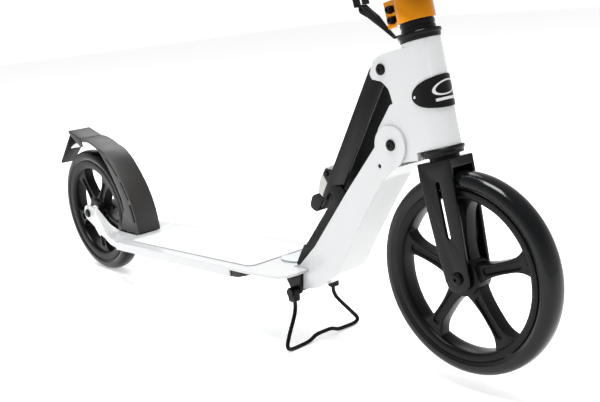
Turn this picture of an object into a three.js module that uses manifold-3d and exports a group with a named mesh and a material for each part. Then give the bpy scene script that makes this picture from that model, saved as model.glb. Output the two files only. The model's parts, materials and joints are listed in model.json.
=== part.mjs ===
// A folding kick scooter with two large wheels, standing on its rear wheel and its centre stand.
// Millimetres, +X forward, +Y to the rider's left, +Z up. The pieces are modelled in a frame whose origin is
// on the wheels' common ground line under the front axle; at the end the whole scooter is tipped back onto
// its stand and moved so that the origin is at the middle of its footprint.
// The groups are the moving bodies, and each group's own origin is the joint that it turns on.
import * as THREE from "three";
import { mergeVertices } from "three/addons/utils/BufferGeometryUtils.js";
import Module from "manifold-3d";

const wasm = await Module();
wasm.setup();

// ---------------------------------------------------------------- driving dimensions
const gap = 0.35; // left between pieces that touch
const slack = 1; // running room between pieces that move past each other
const degrees = Math.PI / 180;

const wheelbase = 817;
const frontWheel = { radius: 115, width: 29, rimRadius: 97, openingRadius: 87.6, spokeWidth: 14, phase: 18, sides: 48 };
const rearWheel = { radius: 107.5, width: 28.7, rimRadius: 90, openingRadius: 75.5, spokeWidth: 17, phase: 51, sides: 48 };
const hubRadius = 22;
const hubWidth = 26;
const spokeCount = 5;
const spokeRecess = 2.5;
const spokeDepth = 16; // along the axle
const rimWidth = 24;
const axleRadius = 4;
const axleHeadRadius = 7.2;
const axleHeadHeight = 3.4;
const bearingRadius = 11;
const bearingWidth = 7;

const steeringLean = 10.9 * degrees;
const steererRadius = 14.3;
const steererWall = 2.6;
const columnRadius = 17;
const columnWall = 2;
const postClearance = 1; // between the post and the column it slides in
const postRadius = columnRadius - columnWall - postClearance;
const postWall = 1.8;

const headTubeBore = 17.1;
const headTubeBottom = 141; // these four heights are measured up the steering axis from the front axle
const headTubeTop = 254;
const columnTop = 600;
const handlebarHeight = 850;
const postInsertion = 190; // length of the post inside the column
const ringRadius = 23.5;
const ringHeight = 8.8;
const spacerRadius = columnRadius + 1.4;
const spacerHeight = 10.5;

const forkLegThickness = 3.6;
const forkTyreClearance = 1.7;
const crownThickness = 10;
const crownClearance = 3.4; // between the tyre's top and the crown

const clampHeight = 28;
const clampWall = 3.4;
const clampEarLength = 15;
const clampEarThickness = 8;
const clampSlot = 2;
const clampBoltSpacing = 11;
const clampBoltRadius = 2.5;
const clampBoltHead = 4.2;

const neckHalfWidth = 24;
const neckWall = 2.8;
const headPlate = 3;
const headTubeRadius = neckHalfWidth - neckWall - gap; // the tube's front runs smoothly into the side plates
const foldPivot = new THREE.Vector2(-79, 257.4);
const foldEarRadius = 20;
const foldBoltRadius = 5;
const strutPivot = new THREE.Vector2(-88.6, 338.1);
const strutLength = 178; // from its upper bolt to its lower pin
const strutSlope = 56.97 * degrees;
const strutWall = 2.5;
const strutBack = 17.6; // from the line of its two pins to its back face
const strutFront = 12;
const strutBoltRadius = 4;
const channelWall = 2.5;

const deckLength = 428;
const deckRear = -668;
const deckRearHeight = 83.7;
const deckSlope = 0.96 * degrees;
const deckHalfWidth = 71.5;
const deckRearHalfWidth = 65.5;
const deckSkin = 3;
const deckDepth = 13;
const deckRib = 2.5;
const skirtLength = 318; // how far forward the deck's closed box runs under its top skin
const plugLength = 46;

const stayInner = 23.6;
const stayThickness = 4.6;
const stayLobe = 14;

const fenderRadius = 130.3;
const fenderHalfWidth = 21;
const fenderSkin = 2.4;
const fenderHinge = new THREE.Vector2(-677, 79);
const fenderPinRadius = 3;
const tailLength = 42;
const tailSlope = 17 * degrees;
const flapLength = 86;
const flapSlope = 39 * degrees;

const standPivot = new THREE.Vector2(-262, 59.5);
const standPinRadius = 3;
const standWireRadius = 2.7;
const standFootSpread = 64;
const standFootHeight = -11.2; // of the wire's middle line, below the wheels' ground line
const standTopSpread = 35;
const standReach = 11; // how far the feet stand ahead of the pivot

const barLength = 470;
const barRadius = 11;
const gripLength = 118;
const gripRadius = 16;

// ---------------------------------------------------------------- materials
function finish(colour, roughness, metalness) {
  return new THREE.MeshStandardMaterial({ color: colour, roughness, metalness });
}
const whitePaint = () => finish(0xe4e6e6, 0.35, 0.1);
const blackPaint = () => finish(0x101112, 0.4, 0.3);
const blackPlastic = () => finish(0x16181a, 0.5, 0);
const blackTyre = () => finish(0x0d0f10, 0.22, 0);
const blackRubber = () => finish(0x131313, 0.8, 0);
const goldAnodised = () => finish(0xc87a12, 0.28, 1);
const bareAlloy = () => finish(0xb9b7b2, 0.35, 1);
const bareSteel = () => finish(0x8d8f92, 0.35, 1);
const greyRubber = () => finish(0xb4b9b9, 0.7, 0);

// ---------------------------------------------------------------- solids and cuts
function solid(geometry) {
  const bare = geometry.index ? geometry.toNonIndexed() : geometry.clone();
  bare.deleteAttribute("normal");
  bare.deleteAttribute("uv");
  const merged = mergeVertices(bare, 1e-4);
  const vertProperties = new Float32Array(merged.attributes.position.array);
  const triVerts = new Uint32Array(merged.index.array);
  return new wasm.Manifold(new wasm.Mesh({ numProp: 3, vertProperties, triVerts }));
}

function geometryOf(manifold) {
  const mesh = manifold.getMesh();
  const geometry = new THREE.BufferGeometry();
  geometry.setAttribute("position", new THREE.BufferAttribute(mesh.vertProperties, 3));
  geometry.setIndex(new THREE.BufferAttribute(mesh.triVerts, 1));
  const flat = geometry.toNonIndexed();
  flat.computeVertexNormals();
  return flat;
}

const join = (...solids) => solids.reduce((whole, piece) => whole.add(piece));
const cut = (whole, ...tools) => tools.reduce((left, tool) => left.subtract(tool), whole);

function piece(name, shape, material, parent) {
  const mesh = new THREE.Mesh(shape.isBufferGeometry ? shape : geometryOf(shape), material);
  mesh.name = name;
  parent.add(mesh);
  return mesh;
}

function box(size, centre) {
  return solid(new THREE.BoxGeometry(...size).translate(...centre));
}

// A rod along Y.
function rodY(radius, from, to, x, z, sides = 20) {
  const rod = new THREE.CylinderGeometry(radius, radius, to - from, sides);
  return solid(rod.translate(x, (from + to) / 2, z));
}

// A rod along Z.
function rodZ(radius, from, to, sides = 32) {
  const rod = new THREE.CylinderGeometry(radius, radius, to - from, sides);
  return solid(rod.rotateX(90 * degrees).translate(0, 0, (from + to) / 2));
}

function tubeZ(outer, inner, from, to, sides = 32) {
  return cut(rodZ(outer, from, to, sides), rodZ(inner, from - 1, to + 1, sides));
}

// A closed outline through corners [x, z, corner radius], as a THREE.Shape.
function roundedShape(corners, arcSteps = 3) {
  const shape = new THREE.Shape();
  const count = corners.length;
  const points = [];
  corners.forEach(([x, z, radius = 0], index) => {
    const corner = new THREE.Vector2(x, z);
    const before = new THREE.Vector2(...corners[(index + count - 1) % count]).sub(corner);
    const after = new THREE.Vector2(...corners[(index + 1) % count]).sub(corner);
    if (!radius) {
      points.push(corner);
      return;
    }
    const half = Math.abs(before.angleTo(after)) / 2;
    const reach = Math.min(radius / Math.tan(half), before.length() * 0.45, after.length() * 0.45);
    const start = corner.clone().add(before.setLength(reach));
    const end = corner.clone().add(after.setLength(reach));
    for (let step = 0; step <= arcSteps; step += 1) {
      const t = step / arcSteps;
      const a = start.clone().lerp(corner, t);
      const b = corner.clone().lerp(end, t);
      points.push(a.lerp(b, t));
    }
  });
  shape.setFromPoints(points);
  return shape;
}

// A plate whose outline lies in the XZ plane, from y = from to y = to.
function plate(shape, from, to) {
  const geometry = new THREE.ExtrudeGeometry(shape, { depth: to - from, bevelEnabled: false, curveSegments: 8 });
  return solid(geometry.rotateX(90 * degrees).translate(0, to, 0));
}

// A slab whose outline lies in the XY plane, from z = from to z = to.
function slab(shape, from, to) {
  const geometry = new THREE.ExtrudeGeometry(shape, { depth: to - from, bevelEnabled: false, curveSegments: 8 });
  return solid(geometry.translate(0, 0, from));
}

// A ring about the Y axis from a closed profile of [radius, y] points.
function ringY(profile, sides) {
  const points = [...profile, profile[0]].map(([radius, y]) => new THREE.Vector2(radius, y));
  const geometry = new THREE.LatheGeometry(points, sides);
  const made = solid(geometry);
  return made.volume() > 0 ? made : solid(flip(geometry));
}

function flip(geometry) {
  const turned = geometry.index ? geometry.toNonIndexed() : geometry.clone();
  const array = turned.attributes.position.array;
  for (let i = 0; i < array.length; i += 9) {
    for (let k = 0; k < 3; k += 1) {
      [array[i + 3 + k], array[i + 6 + k]] = [array[i + 6 + k], array[i + 3 + k]];
    }
  }
  return turned;
}

// A tube of round section along a smooth curve through points.
function wire(points, radius, steps, sides = 8, closed = false) {
  const curve = new THREE.CatmullRomCurve3(points, closed, "centripetal");
  const section = new THREE.Shape();
  section.absarc(0, 0, radius, 0, 2 * Math.PI);
  return new THREE.ExtrudeGeometry(section, {
    steps,
    extrudePath: curve,
    curveSegments: Math.max(2, sides / 2),
    bevelEnabled: false,
  });
}

// ---------------------------------------------------------------- moving groups
const scooter = new THREE.Group();

function joint(parent, x, y, z, turn = 0) {
  const group = new THREE.Group();
  group.position.set(x, y, z);
  group.rotation.y = turn;
  parent.add(group);
  return group;
}

const deckFrame = joint(scooter, deckRear, 0, deckRearHeight, -deckSlope);
const head = joint(scooter, foldPivot.x, 0, foldPivot.y);
const strutGroup = joint(scooter, strutPivot.x, 0, strutPivot.y, 90 * degrees - strutSlope);
const steering = joint(scooter, 0, 0, frontWheel.radius, -steeringLean);
const handle = joint(steering, 0, 0, 0);
const frontSpin = joint(steering, 0, 0, 0, steeringLean);
const rearSpin = joint(scooter, -wheelbase, 0, rearWheel.radius);
const fenderGroup = joint(scooter, fenderHinge.x, 0, fenderHinge.y);
const stand = joint(scooter, standPivot.x, 0, standPivot.y);

// ---------------------------------------------------------------- wheels
// A cast five-spoke rim: a drop-centre outer ring, a hub for two bearings and spokes with sunk faces.
function rimShape(wheel) {
  const half = rimWidth / 2;
  const bead = wheel.rimRadius - gap;
  const outer = ringY(
    [
      [wheel.openingRadius, -half],
      [bead, -half],
      [bead, half],
      [wheel.openingRadius, half],
    ],
    wheel.sides,
  );
  const hubHalf = hubWidth / 2;
  const seat = bearingRadius + gap;
  const hub = ringY(
    [
      [seat, -hubHalf],
      [hubRadius, -hubHalf],
      [hubRadius, hubHalf],
      [seat, hubHalf],
      [seat, hubHalf - bearingWidth - gap],
      [bearingRadius - 3, hubHalf - bearingWidth - gap],
      [bearingRadius - 3, bearingWidth + gap - hubHalf],
      [seat, bearingWidth + gap - hubHalf],
    ],
    32,
  );
  const inner = hubRadius - 2;
  const spokeWidth = wheel.spokeWidth;
  const outerEnd = wheel.openingRadius + 2;
  const spokes = [];
  for (let index = 0; index < spokeCount; index += 1) {
    const angle = wheel.phase * degrees + (index * 2 * Math.PI) / spokeCount;
    const spoke = plate(
      roundedShape([
        [inner, -spokeWidth * 0.75],
        [wheel.openingRadius - 14, -spokeWidth / 2, 12],
        [outerEnd, -spokeWidth],
        [outerEnd, spokeWidth],
        [wheel.openingRadius - 14, spokeWidth / 2, 12],
        [inner, spokeWidth * 0.75],
      ]),
      -spokeDepth / 2,
      spokeDepth / 2,
    );
    const recess = roundedShape(
      [
        [hubRadius + 5, -spokeWidth * 0.3, 4],
        [wheel.openingRadius - 8, -spokeWidth * 0.27, 4],
        [wheel.openingRadius - 8, spokeWidth * 0.27, 4],
        [hubRadius + 5, spokeWidth * 0.3, 4],
      ],
      2,
    );
    const near = plate(recess, -spokeDepth, spokeRecess - spokeDepth / 2);
    const far = plate(recess, spokeDepth / 2 - spokeRecess, spokeDepth);
    spokes.push(cut(spoke, near, far).rotate([0, (-angle * 180) / Math.PI, 0]));
  }
  const web = spokes.map((spoke) => spoke.subtract(rodY(inner, -half, half, 0, 0, 32)));
  return join(outer, hub, ...web);
}

// A solid tyre with a rounded tread, flat against the rim.
function tyreShape(wheel) {
  const half = wheel.width / 2;
  const shoulder = wheel.radius - 9;
  const profile = [
    [wheel.rimRadius, -rimWidth / 2],
    [shoulder, -half],
    [wheel.radius - 3.5, -half + 3.2],
    [wheel.radius, -half + 9],
    [wheel.radius, half - 9],
    [wheel.radius - 3.5, half - 3.2],
    [shoulder, half],
    [wheel.rimRadius, rimWidth / 2],
  ];
  return ringY(profile, wheel.sides);
}

function bearing(y) {
  const bore = axleRadius + gap;
  return ringY(
    [
      [bore, y],
      [bearingRadius, y],
      [bearingRadius, y + bearingWidth],
      [bore, y + bearingWidth],
    ],
    24,
  );
}

function addWheel(wheel, group, name) {
  piece(`${name}_rim`, rimShape(wheel), blackPlastic(), group);
  piece(`${name}_tyre`, tyreShape(wheel), blackTyre(), group);
  const right = -hubWidth / 2;
  piece(`${name}_bearing_right`, bearing(right), bareSteel(), group);
  piece(`${name}_bearing_left`, bearing(hubWidth / 2 - bearingWidth), bareSteel(), group);
}

addWheel(frontWheel, frontSpin, "front");
addWheel(rearWheel, rearSpin, "rear");

// An axle bolt with a domed head each side, through plates whose outer faces are at y = ±reach.
function axleShape(reach) {
  const shaft = rodY(axleRadius, -reach - gap - 1, reach + gap + 1, 0, 0, 16);
  const head = rodY(axleHeadRadius, reach + gap, reach + gap + axleHeadHeight, 0, 0, 24);
  const nut = rodY(axleHeadRadius, -reach - gap - axleHeadHeight, -reach - gap, 0, 0, 24);
  return join(shaft, head, nut);
}

// ---------------------------------------------------------------- fork and front axle
const legInner = frontWheel.width / 2 + forkTyreClearance;
const legOuter = legInner + forkLegThickness;
const crownTop = frontWheel.radius + crownClearance + crownThickness;

function forkShape() {
  const outline = roundedShape([
    [-23, crownTop, 2],
    [-24, crownTop - 20],
    [-19, 22],
    [-15.5, -15, 14],
    [15, -15, 14],
    [17, 22],
    [21, crownTop - 30],
    [21.5, crownTop, 2],
  ]);
  const slot = roundedShape(
    [
      [-2.8, 44, 2.7],
      [2.8, 44, 2.7],
      [2.8, 107, 2.7],
      [-2.8, 107, 2.7],
    ],
    4,
  );
  const leg = plate(outline, legInner, legOuter);
  const legs = [leg, leg.mirror([0, 1, 0])];
  const crown = box([44, 2 * legInner + 1, crownThickness], [-0.8, 0, crownTop - crownThickness / 2]);
  const steerer = tubeZ(steererRadius, steererRadius - steererWall, crownTop - 1, headTubeTop + 42, 24);
  const race = tubeZ(16.5, steererRadius - 1, crownTop - 1, headTubeBottom - ringHeight - gap, 24);
  return cut(
    join(...legs, crown, steerer, race),
    plate(slot, -legOuter - 1, legOuter + 1),
    rodY(axleRadius + gap, -legOuter - 1, legOuter + 1, 0, 0, 16),
  );
}

piece("fork", forkShape(), blackPaint(), steering);
piece("front_axle", axleShape(legOuter), bareSteel(), steering);

// ---------------------------------------------------------------- head shell and headset
// Everything here is placed up the steering axis, so it is modelled in an upright frame and then leaned.
const headGroup = joint(head, -foldPivot.x, 0, frontWheel.radius - foldPivot.y, -steeringLean);

// A point of the scooter's frame, seen from the steering axis: [forward of the axis, up the axis].
function fromAxis(x, z) {
  const up = z - frontWheel.radius;
  const cos = Math.cos(steeringLean);
  const sin = Math.sin(steeringLean);
  return new THREE.Vector2(x * cos + up * sin, up * cos - x * sin);
}

const plateOuter = headTubeRadius;
const plateInner = plateOuter - headPlate;

function headShape() {
  const fold = fromAxis(foldPivot.x, foldPivot.y);
  const rear = fromAxis(strutPivot.x, strutPivot.y);
  const skirt = headTubeBottom - ringHeight + 0.3;
  const outline = roundedShape([
    [0, headTubeTop - 4],
    [rear.x + 5, rear.y + 14.8, 5],
    [rear.x - 8, rear.y + 11.5, 5],
    [rear.x - 18.5, rear.y - 1, 5],
    [rear.x - 16, rear.y - 7.5, 3],
    [rear.x - 3, rear.y - 12.5, 8],
    [rear.x + 5, rear.y - 22, 14],
    [rear.x + 6.6, rear.y - 38.5, 1],
    [rear.x + 1.9, rear.y - 39, 1],
    [fold.x - 18.5, fold.y + 19, 8],
    [fold.x - 20.5, fold.y - 4, 8],
    [fold.x - 14, fold.y - 14.5, 4],
    [fold.x + 4.5, fold.y - 19.5],
    [fold.x + 7.2, fold.y - 21.2],
    [-headTubeRadius + 1.5, skirt, 2],
    [-headTubeRadius + 3, headTubeBottom],
    [0, headTubeBottom],
  ]);
  const shell = plate(outline, -plateOuter, plateOuter);
  const below = fold.y - 60;
  const behind = -headTubeRadius - 2;
  const between = new THREE.Shape([
    new THREE.Vector2(behind, below),
    new THREE.Vector2(behind, headTubeTop - 9),
    new THREE.Vector2(behind - 7, headTubeTop - 9),
    new THREE.Vector2(behind - 7, headTubeTop + 30),
    new THREE.Vector2(behind - 90, headTubeTop + 30),
    new THREE.Vector2(behind - 90, below),
  ]);
  const hollow = plate(between, -plateInner, plateInner);
  const cupRoom = rodZ(ringRadius + slack, below, headTubeBottom, 26);
  const tube = rodZ(headTubeRadius, headTubeBottom, headTubeTop, 48);
  const bore = rodZ(headTubeBore, headTubeBottom - 1, headTubeTop + 1, 28);
  return cut(
    join(cut(shell, hollow, cupRoom), tube),
    bore,
    rodY(foldBoltRadius + gap, -30, 30, fold.x, fold.y, 16),
    rodY(strutBoltRadius + gap, -30, 30, rear.x, rear.y, 16),
  );
}

// A headset cup: a visible ring against the tube's end with a skirt inside the bore.
function cupShape(end, outward) {
  const bore = steererRadius + slack;
  const skirt = headTubeBore - gap;
  const from = end + outward * gap;
  const to = from + outward * (ringHeight - gap);
  const low = Math.min(from, to);
  const high = Math.max(from, to);
  const ring = tubeZ(ringRadius, bore, low, high, 26);
  const inside = end - outward * 5;
  const sleeve = tubeZ(skirt, bore, Math.min(inside, to), Math.max(inside, to), 26);
  return join(ring, sleeve);
}

function headsetBearing(from) {
  return tubeZ(headTubeBore - gap, steererRadius + gap, from, from + bearingWidth, 24);
}

piece("head_shell", headShape(), whitePaint(), headGroup);
piece("headset_cup_lower", cupShape(headTubeBottom, -1), blackPaint(), headGroup);
piece("headset_cup_upper", cupShape(headTubeTop, 1), blackPaint(), headGroup);
piece("headset_bearing_lower", headsetBearing(headTubeBottom + 6), bareSteel(), headGroup);
piece("headset_bearing_upper", headsetBearing(headTubeTop - 6 - bearingWidth), bareSteel(), headGroup);

// An oval badge that wraps the front of the head shell, from side plate to side plate.
const badgeHeight = 198;
const badgeHalfHeight = 17;
const badgeTip = -8.5; // how far behind the steering axis each tip reaches
const badgeThickness = 1;
function badgeShape() {
  const quarter = (headTubeRadius * Math.PI) / 2;
  const half = quarter - badgeTip;
  const heightAt = (along) => badgeHalfHeight * Math.sqrt(Math.max(0, 1 - (along / half) ** 2));
  const upper = [];
  for (let step = 0; step <= 8; step += 1) {
    const angle = (step / 8) * 90 * degrees;
    upper.push([headTubeRadius * Math.cos(angle), heightAt(headTubeRadius * angle)]);
  }
  for (let step = 1; step <= 5; step += 1) {
    const back = (badgeTip * step) / 5;
    upper.push([back, heightAt(quarter - back)]);
  }
  const top = [[40, upper[0][1]], ...upper].map(([x, z]) => new THREE.Vector2(x, badgeHeight + z));
  const bottom = [[40, upper[0][1]], ...upper.slice(0, -1)].map(([x, z]) => new THREE.Vector2(x, badgeHeight - z));
  const prism = plate(new THREE.Shape([...top, ...bottom.reverse()]), -40, 40);
  const low = badgeHeight - 20;
  const high = badgeHeight + 20;
  const wrap = (gapOut) => {
    const flat = plateOuter + gapOut;
    const round = rodZ(headTubeRadius + gapOut, low, high, 40);
    return join(round, box([40, 2 * flat, 40], [-20, 0, badgeHeight]));
  };
  return prism.intersect(cut(wrap(gap + badgeThickness), wrap(gap)));
}
piece("badge", badgeShape(), blackPlastic(), headGroup);

// A bolt across the plates, with a round head on each side.
function crossBolt(radius, headRadius, outer, height, x, z) {
  const shaft = rodY(radius, -outer - gap - 1, outer + gap + 1, x, z, 14);
  const left = rodY(headRadius, outer + gap, outer + gap + height, x, z, 20);
  const right = rodY(headRadius, -outer - gap - height, -outer - gap, x, z, 20);
  return join(shaft, left, right);
}
const rearBolt = fromAxis(strutPivot.x, strutPivot.y);
const strutBolt = crossBolt(strutBoltRadius, 6.3, plateOuter, 2.2, rearBolt.x, rearBolt.y);
piece("strut_bolt", strutBolt, blackPaint(), headGroup);

// ---------------------------------------------------------------- neck: a white channel, open to the rear
// The line of its front face from the fold down to its belly, in the scooter's frame.
const neckFront = [
  [-70, 235.4],
  [-95, 217.5],
  [-124.3, 180.1],
  [-158, 133.4],
  [-187, 91],
  [-225, 68],
  [-262, 59.7],
].map(([x, z]) => new THREE.Vector2(x, z));
const neckRear = -268.5;

// An open line moved sideways; the line's left-hand side is positive.
function offsetLine(line, distance) {
  return line.map((point, index) => {
    const before = line[Math.max(index - 1, 0)];
    const after = line[Math.min(index + 1, line.length - 1)];
    const along = after.clone().sub(before).normalize();
    return new THREE.Vector2(point.x - along.y * distance, point.y + along.x * distance);
  });
}

function neckShape() {
  const outline = roundedShape([
    [-62, 244],
    [neckFront[0].x, neckFront[0].y],
    ...neckFront.slice(1, -1).map((point) => [point.x, point.y, 18]),
    [-262, neckFront.at(-1).y, 6],
    [neckRear, 66, 4],
    [neckRear, 88, 2],
    [-256, 94.5, 6],
    [-222.8, 123.8, 30],
    [-156.1, 198.7, 30],
    [-99, 259.5],
  ]);
  const ear = rodY(foldEarRadius + 2.5, -neckHalfWidth, neckHalfWidth, foldPivot.x - 2.5, foldPivot.y - 1.4, 36);
  const inside = offsetLine(neckFront, -neckWall);
  const hollow = new THREE.Shape([
    new THREE.Vector2(-40, 250),
    ...inside,
    new THREE.Vector2(neckRear + neckWall, 66),
    new THREE.Vector2(neckRear + neckWall, 180),
    new THREE.Vector2(-180, 320),
    new THREE.Vector2(-40, 320),
  ]);
  const innerHalf = neckHalfWidth - neckWall;
  return cut(
    join(plate(outline, -neckHalfWidth, neckHalfWidth), ear),
    plate(hollow, -innerHalf, innerHalf),
    rodY(foldEarRadius + 5, -innerHalf, innerHalf, foldPivot.x, foldPivot.y, 24),
    rodY(foldBoltRadius + gap, -30, 30, foldPivot.x, foldPivot.y, 16),
    rodY(2.6, -30, 30, foldPivot.x - 19.8, foldPivot.y - 24.3, 12),
  );
}

const standNotch = rodY(standPinRadius + 2 * gap, -60, 60, standPivot.x, standPivot.y, 16);
piece("neck", cut(neckShape(), standNotch), whitePaint(), scooter);
const foldBolt = crossBolt(foldBoltRadius, 6.6, neckHalfWidth, 2.4, foldPivot.x, foldPivot.y);
piece("fold_bolt", foldBolt, blackPaint(), scooter);

// The black channel inside the neck, in which the strut's foot slides when the scooter folds.
const channelOuter = neckHalfWidth - neckWall - gap;
const channelInner = channelOuter - channelWall;

function channelShape() {
  const floor = [
    [-160, 186],
    [-172, 168],
    [-236, 92.5],
  ].map(([x, z]) => new THREE.Vector2(x, z));
  const outline = roundedShape([
    [-171, 204, 6],
    [-186, 203, 8],
    [-198, 189, 8],
    [-220, 157, 12],
    [-255, 111.5, 10],
    [-266, 94.5, 3],
    [-265, 92.5, 1],
    ...floor.map((point) => [point.x, point.y]).reverse(),
    [-160, 196, 6],
  ]);
  const inside = offsetLine(floor, -channelWall);
  const hollow = new THREE.Shape([
    new THREE.Vector2(-150, 210),
    ...inside,
    new THREE.Vector2(-240, 80),
    new THREE.Vector2(-300, 80),
    new THREE.Vector2(-300, 260),
    new THREE.Vector2(-150, 260),
  ]);
  const slotEnds = [
    [-188, 190],
    [-246, 126],
  ];
  const [top, bottom] = slotEnds.map(([x, z]) => rodY(4.4, -30, 30, x, z, 16));
  const middle = new THREE.Vector2(...slotEnds[0]).add(new THREE.Vector2(...slotEnds[1])).multiplyScalar(0.5);
  const run = new THREE.Vector2(...slotEnds[0]).sub(new THREE.Vector2(...slotEnds[1]));
  const way = new THREE.BoxGeometry(run.length(), 60, 8.8).rotateY(-run.angle()).translate(middle.x, 0, middle.y);
  return cut(
    plate(outline, -channelOuter, channelOuter),
    plate(hollow, -channelInner, channelInner),
    join(top, bottom, solid(way)),
  );
}

piece("strut_channel", channelShape(), blackPaint(), scooter);

// ---------------------------------------------------------------- strut and its latch
const strutOuter = channelInner - slack;
const latchPivot = new THREE.Vector2(-strutBack - 6.5, -160); // in the strut's frame
const latchHalf = 13;

function strutShape() {
  const end = strutLength + 13;
  const outline = roundedShape([
    [strutFront, -2, 8],
    [strutFront - 5, -20, 30],
    [strutFront - 5, -end + 34, 30],
    [strutFront - 2, -end + 20, 10],
    [strutFront - 2, -end + 4, 4],
    [-strutBack, -end, 4],
    [-strutBack, -12, 10],
    [-10, 8, 4],
    [4, 11, 6],
  ]);
  const inner = strutOuter - strutWall;
  const body = plate(outline, -strutOuter, strutOuter);
  const hollow = box([60, 2 * inner, 2 * end], [30 - strutBack + strutWall, 0, -end + 20]);
  const topRoom = box([60, 2 * inner, 60], [0, 0, 16]);
  const lug = roundedShape([
    [-strutBack + 1, latchPivot.y + 10],
    [-strutBack + 1, latchPivot.y - 10],
    [latchPivot.x - 4, latchPivot.y - 5, 4],
    [latchPivot.x - 4, latchPivot.y + 5, 4],
  ]);
  const lugs = [plate(lug, latchHalf + slack, strutOuter), plate(lug, -strutOuter, -latchHalf - slack)];
  return cut(
    join(cut(body, hollow, topRoom), ...lugs),
    rodY(strutBoltRadius + gap, -30, 30, 0, 0, 16),
    rodY(strutBoltRadius + gap, -30, 30, 0, -strutLength, 16),
    rodY(2 + gap, -30, 30, latchPivot.x, latchPivot.y, 12),
  );
}

piece("strut", strutShape(), blackPaint(), strutGroup);
const footPin = rodY(strutBoltRadius, -strutOuter - 0.4, strutOuter + 0.4, 0, -strutLength, 16);
piece("strut_foot_pin", footPin, bareSteel(), strutGroup);
const latchPin = crossBolt(2, 3.4, strutOuter, 1, latchPivot.x, latchPivot.y);
piece("latch_pin", latchPin, bareSteel(), strutGroup);

// The latch lever hangs from its pin down the strut's back and ends in a knob.
const latch = joint(strutGroup, latchPivot.x, 0, latchPivot.y);
const knobTop = -34;
function latchLeverShape() {
  const back = -strutBack - gap - 0.6 - latchPivot.x;
  const arm = roundedShape([
    [-8, 5, 4],
    [back, 5, 4],
    [back, knobTop, 1],
    [-4.5, knobTop, 1],
    [-9, -20, 10],
  ]);
  return cut(
    plate(arm, -latchHalf, latchHalf),
    rodY(2 + gap, -20, 20, 0, 0, 12),
    box([7, 2 * latchHalf - 7, 24], [-9, 0, -17]),
  );
}
function latchKnobShape() {
  const knob = roundedShape([
    [5.5, knobTop - gap, 2],
    [5, knobTop - 26, 7],
    [-11, knobTop - 29, 8],
    [-13, knobTop - 12, 8],
    [-4, knobTop - gap, 3],
  ]);
  return plate(knob, -12, 12);
}
piece("latch_lever", latchLeverShape(), bareAlloy(), latch);
piece("latch_knob", latchKnobShape(), blackRubber(), latch);

// ---------------------------------------------------------------- deck
// In the deck's own frame: x from its rear edge, z = 0 at its top face.
const deckPlan = (inset, length) =>
  roundedShape([
    [0, -deckRearHalfWidth + inset, 3],
    [360, -deckHalfWidth + inset, 60],
    [length, -deckHalfWidth + 1.5 + inset, 26],
    [length, deckHalfWidth - 1.5 - inset, 26],
    [360, deckHalfWidth - inset, 60],
    [0, deckRearHalfWidth - inset, 3],
  ]);
const neckRearOnDeck = neckRear - deckRear;

function deckShape() {
  const skin = slab(deckPlan(0, deckLength), -deckSkin, 0);
  const skirt = slab(deckPlan(0, deckLength), -deckDepth, -deckSkin + 0.1);
  const ahead = box([deckLength, 400, 60], [skirtLength + deckLength / 2, 0, -deckSkin - 30]);
  const wall = 3;
  const floor = 2.5;
  const cellCount = 6;
  const cellPitch = (2 * (deckRearHalfWidth - wall) + deckRib) / cellCount;
  const cellHeight = deckDepth - deckSkin - floor;
  const cells = [];
  for (let index = 0; index < cellCount; index += 1) {
    const y = -deckRearHalfWidth + wall + cellPitch * index + (cellPitch - deckRib) / 2;
    const size = [skirtLength + 20, cellPitch - deckRib, cellHeight];
    cells.push(box(size, [skirtLength / 2, y, -deckSkin - cellHeight / 2]));
  }
  const neckRoom = box([80, 2 * (neckHalfWidth + gap), 60], [neckRearOnDeck - gap - 0.3 + 40, 0, 0]);
  return cut(join(skin, cut(skirt, ahead)), ...cells, neckRoom);
}
piece("deck", deckShape(), whitePaint(), deckFrame);

// A black plug closes each front corner of the deck's box and tapers away under the skin.
function plugShape() {
  const from = skirtLength + gap;
  const side = new THREE.Shape([
    new THREE.Vector2(from, -deckSkin - gap),
    new THREE.Vector2(from, -deckDepth + 0.6),
    new THREE.Vector2(from + plugLength * 0.35, -deckDepth + 1.4),
    new THREE.Vector2(from + plugLength * 0.75, -deckSkin - 4),
    new THREE.Vector2(from + plugLength, -deckSkin - gap - 0.8),
    new THREE.Vector2(from + plugLength, -deckSkin - gap),
  ]);
  const outer = slab(deckPlan(1.2, deckLength), -deckDepth, 0);
  return plate(side, 26, 80).intersect(outer);
}
piece("deck_plug_left", plugShape(), blackPlastic(), deckFrame);
piece("deck_plug_right", plugShape().mirror([0, 1, 0]), blackPlastic(), deckFrame);

function gripPadShape() {
  const pad = roundedShape([
    [26, -50, 10],
    [345, -54, 14],
    [345, 54, 14],
    [26, 50, 10],
  ]);
  return slab(pad, gap, gap + 0.8);
}
piece("deck_grip_pad", gripPadShape(), whitePaint(), deckFrame);

function stemPadShape() {
  const oval = new THREE.Shape();
  oval.absellipse(neckRearOnDeck - 26, 0, 24, 15, 0, 2 * Math.PI);
  return slab(oval, gap, gap + 2.4);
}
piece("stem_rest_pad", stemPadShape(), greyRubber(), deckFrame);

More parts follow.
